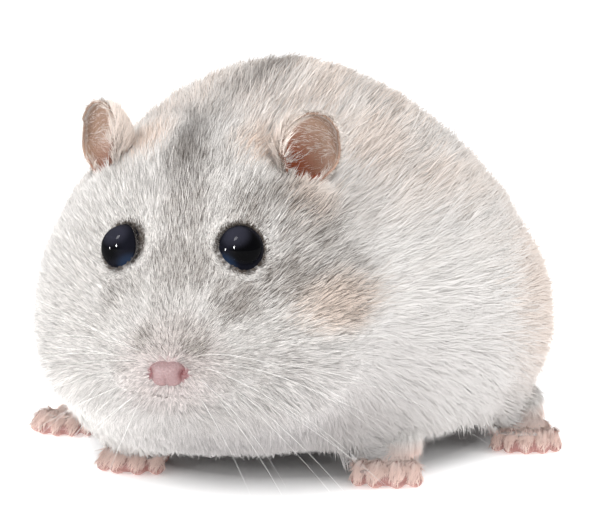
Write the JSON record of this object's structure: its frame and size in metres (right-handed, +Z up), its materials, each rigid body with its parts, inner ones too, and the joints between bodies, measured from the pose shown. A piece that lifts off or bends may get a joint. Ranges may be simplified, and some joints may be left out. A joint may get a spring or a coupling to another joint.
{
  "type": "dwarf hamster",
  "caption": "Small round rodent sitting low on its feet: pear-shaped furry body, short snout, upright cupped ears, bulging dark eyes, pink nose and toes, stub tail.",
  "frame": {"origin": "centre of the bounding box's bottom face, on the floor the soles stand on", "axes": "+Z up, -Y the way the body faces, +X the animal's left side"},
  "size_m": [0.051, 0.0718, 0.038],
  "materials": {
    "coat": "soft fur, cream grey with darker ticking",
    "white_coat": "soft fur, off-white",
    "bare_skin": "bare pink skin, satin",
    "ear_skin": "thin warm brown skin with a fine down",
    "eye": "wet gloss"
  },
  "bodies": {
    "root": {"head": "coat", "neck": "coat", "trunk": "coat", "tail": "white_coat", "fore_leg_left": "white_coat", "fore_leg_right": "white_coat", "hind_leg_left": "white_coat", "hind_leg_right": "white_coat", "fore_foot_left": "bare_skin", "fore_foot_right": "bare_skin", "hind_foot_left": "bare_skin", "hind_foot_right": "bare_skin", "nose": "bare_skin", "ear_left": "ear_skin", "ear_right": "ear_skin", "eye_left": "eye", "eye_right": "eye"}
  },
  "joints": []
}
